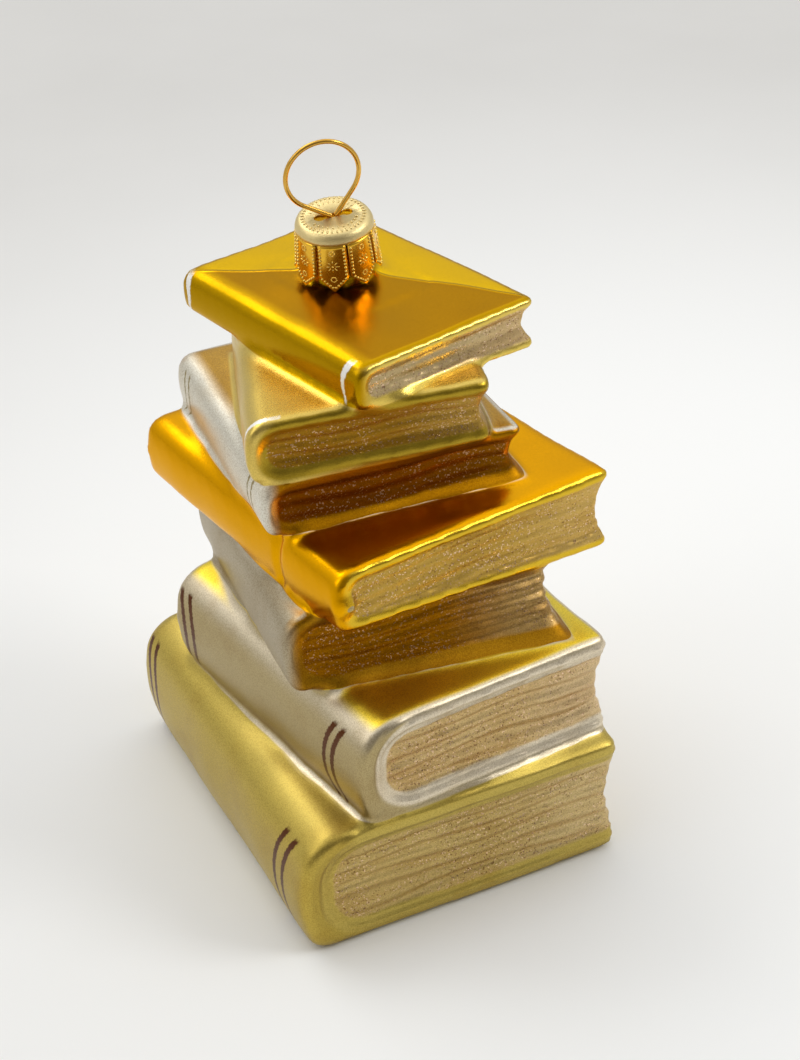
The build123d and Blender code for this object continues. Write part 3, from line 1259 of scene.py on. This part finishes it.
def petal_plate():
    bm = bmesh.new()
    rows, columns = 16, 8
    grid = []
    for row in range(rows + 1):
        down = petal_length * row / rows * blunt_share
        half = max(petal_half_width(down), blunt_half)
        grid.append([(half * (2 * column / columns - 1), down) for column in range(columns + 1)])
    layers = []
    for out in (0, -cap_metal):
        layers.append([[bm.verts.new(on_cone(x, down, out)) for x, down in line] for line in grid])
    for row in range(rows):
        for column in range(columns):
            for layer in layers:
                this, after = layer[row], layer[row + 1]
                bm.faces.new((this[column], this[column + 1], after[column + 1], after[column]))
    border = [(r, 0) for r in range(rows)] + [(rows, c) for c in range(columns)]
    border += [(r, columns) for r in range(rows, 0, -1)] + [(0, c) for c in range(columns, 0, -1)]
    for (r0, c0), (r1, c1) in zip(border, border[1:] + border[:1]):
        bm.faces.new((layers[0][r0][c0], layers[0][r1][c1], layers[1][r1][c1], layers[1][r0][c0]))
    bmesh.ops.recalc_face_normals(bm, faces=bm.faces)
    return bm


# %% [markdown]
# Each petal is embossed with a row of beads along its border, a ring near the top, an eight-rayed flower
# and a ring near the point. Little balls half sunk in the sheet give the same raised dots as the die.

# %% Beads, rings and flower
border_inset = 0.42
first_bead = 0.75
tip_beads = 5
tip_start = 0.4
tip_inset = 0.55
tip_bead_share = 0.9
ring_top = 1.25
ring_low = 0.15
ring_radius = 0.42
ring_beads = 10
ring_bead_radius = 0.15
flower_down = 3.6
flower_radius = 0.72
flower_rays = 8
ray_stretch = (0.55, 0.6, 1.9)
ray_radius = 0.22
flower_eye = 0.2


def add_bead(bm, across, down, size, stretch=(1, 1, 1), turn=0.0):
    """A drop of relief: a little ball, or a stretched one for a ray of the flower."""
    radius = shoulder_radius + petal_flare * down / petal_length
    matrix = (
        Matrix.Translation(on_cone(across, down))
        @ Matrix.Rotation(across / radius, 4, "Z")
        @ Matrix.Rotation(turn, 4, "Y")
        @ Matrix.Diagonal((stretch[0], stretch[1], stretch[2], 1))
    )
    bmesh.ops.create_icosphere(bm, subdivisions=1, radius=size, matrix=matrix)


def border_beads(bm):
    """The rows along both sides, then the two short rows that meet at the point."""
    point_start = petal_length - petal_point
    down = first_bead
    while down < point_start:
        for side in (-1, 1):
            add_bead(bm, side * (petal_half_width(down) - border_inset), down, bead_radius)
        down += bead_step
    for step in range(tip_beads):
        share = (step + tip_start) / tip_beads
        down = point_start + share * (petal_point - tip_inset)
        half = (petal_half_width(point_start) - border_inset) * (1 - share)
        for side in (-1, 1):
            add_bead(bm, side * half, down, bead_radius * tip_bead_share)


def petal_relief():
    bm = bmesh.new()
    border_beads(bm)
    for down in (ring_top, petal_length - petal_point + ring_low):
        for step in range(ring_beads):
            angle = 2 * pi * step / ring_beads
            add_bead(bm, ring_radius * sin(angle), down + ring_radius * cos(angle), ring_bead_radius)
    for ray in range(flower_rays):
        angle = 2 * pi * ray / flower_rays
        across, down = flower_radius * sin(angle), flower_down + flower_radius * cos(angle)
        add_bead(bm, across, down, ray_radius, ray_stretch, -angle)
    add_bead(bm, 0, flower_down, flower_eye)
    return bm


# %% [markdown]
# Two rings of short ticks are milled into the disc. They are small stretched balls as well, and those
# that would hang over the slot are taken away whole.

# %% Milled rings of the disc
slot_margin = (0.3, 1.2)


def add_milling(bm, radius, count, size, length):
    for number in range(count):
        angle = 2 * pi * number / count
        matrix = (
            Matrix.Rotation(angle, 4, "Z")
            @ Matrix.Translation((radius, 0, disc_top))
            @ Matrix.Diagonal((length, size, size, 1))
        )
        bmesh.ops.create_icosphere(bm, subdivisions=1, radius=1, matrix=matrix)


def off_slot(bm):
    """Removes the milling that would hang over the slot."""
    turn = Matrix.Rotation(-radians(slot_turn), 3, "Z")
    gone = []
    for vert in bm.verts:
        along = turn @ vert.co
        if abs(along.x) < slot_length / 2 + slot_margin[0] and abs(along.y) < slot_margin[1]:
            gone.append(vert)
    bmesh.ops.delete(bm, geom=whole_ticks(gone), context="VERTS")


def whole_ticks(verts):
    """Every vertex joined to the given ones."""
    found, waiting = set(verts), list(verts)
    while waiting:
        for edge in waiting.pop().link_edges:
            fresh = set(edge.verts) - found
            found |= fresh
            waiting += fresh
    return list(found)


# %% [markdown]
# The petals are bright gilding, deep in the sheet; the raised dots are given a paler gold, which is a
# painted highlight. The disc and shoulder are frosted: they are rougher, with a fine bump.

# %% The gilding
deep_gold = (colour(255, 206, 76), colour(246, 184, 48))
# Painted highlight: the paler gold of the raised dots.
raised_gold_highlight = (colour(255, 228, 134), colour(250, 210, 96))
frosted_gold = (colour(224, 198, 130), colour(244, 226, 170))


def make_gilding(name, golds):
    made, tree, shader, place = material(name)
    cloud = noise_at(tree, place, 0.7, 2.0)
    feed(tree, shader.inputs["Base Color"], blend(tree, *golds, cloud))
    shader.inputs["Metallic"].default_value = 1.0
    feed(tree, shader.inputs["Roughness"], cloud * 0.10 + 0.13)
    return made


def make_frosting():
    made, tree, shader, place = material("frosted_gilding")
    grain = noise_at(tree, place, 4.0, 2.0, 0.7)
    feed(tree, shader.inputs["Base Color"], blend(tree, *frosted_gold, grain))
    shader.inputs["Metallic"].default_value = 1.0
    feed(tree, shader.inputs["Roughness"], grain * 0.2 + 0.30)
    bump = node(tree, "Bump", None, {"Height": grain, "Distance": 0.05 * MM, "Strength": 1.0})
    feed(tree, shader.inputs["Normal"], bump.outputs[0])
    return made


# %% [markdown]
# The parts are joined as one piece, because the cap is one stamping. It is tilted with the neck at the
# very end, so that all its own sizes stay upright and easy to read.

# %% Put the cap together
outer_ring = (disc_radius - 0.5, 40, 0.20, 0.42)
inner_ring = (disc_radius - 1.7, 28, 0.18, 0.36)


def make_cap():
    whole = bmesh.new()
    add_mesh(whole, cap_shell(), 1)
    for number in range(petal_count):
        turn = Matrix.Rotation(radians(petal_turn + 90 + number * 360 / petal_count), 4, "Z")
        for index, body in ((0, petal_plate()), (2, petal_relief())):
            bmesh.ops.transform(body, matrix=turn, verts=body.verts)
            add_mesh(whole, body, index)
    milling = bmesh.new()
    add_milling(milling, *outer_ring)
    add_milling(milling, *inner_ring)
    off_slot(milling)
    add_mesh(whole, milling, 1)
    bmesh.ops.transform(whole, matrix=neck_frame, verts=whole.verts)
    cap = settle(whole, "stamped_cap")
    cap.data.materials.append(make_gilding("deep_gilding", deep_gold))
    cap.data.materials.append(make_frosting())
    cap.data.materials.append(make_gilding("raised_gilding_highlight", raised_gold_highlight))
    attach(cap, "root")
    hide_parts("crown_cap")
    print("cap faces", len(cap.data.polygons))


make_cap()

# %% [markdown]
# ## The wire
# The hanger is drawn brass wire, gilded bright. Its CAD shape is already right, so it keeps that shape
# and gets its finish here.

# %% The wire's finish
def finish_wire():
    made, tree, shader, place = material("gilt_wire_finish")
    along = noise_at(tree, place, 0.8, 2.0)
    feed(tree, shader.inputs["Base Color"], blend(tree, colour(236, 190, 92), colour(216, 160, 60), along))
    shader.inputs["Metallic"].default_value = 1.0
    feed(tree, shader.inputs["Roughness"], along * 0.1 + 0.12)
    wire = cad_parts["wire_hanger"]
    wire.data.materials.clear()
    wire.data.materials.append(made)


finish_wire()
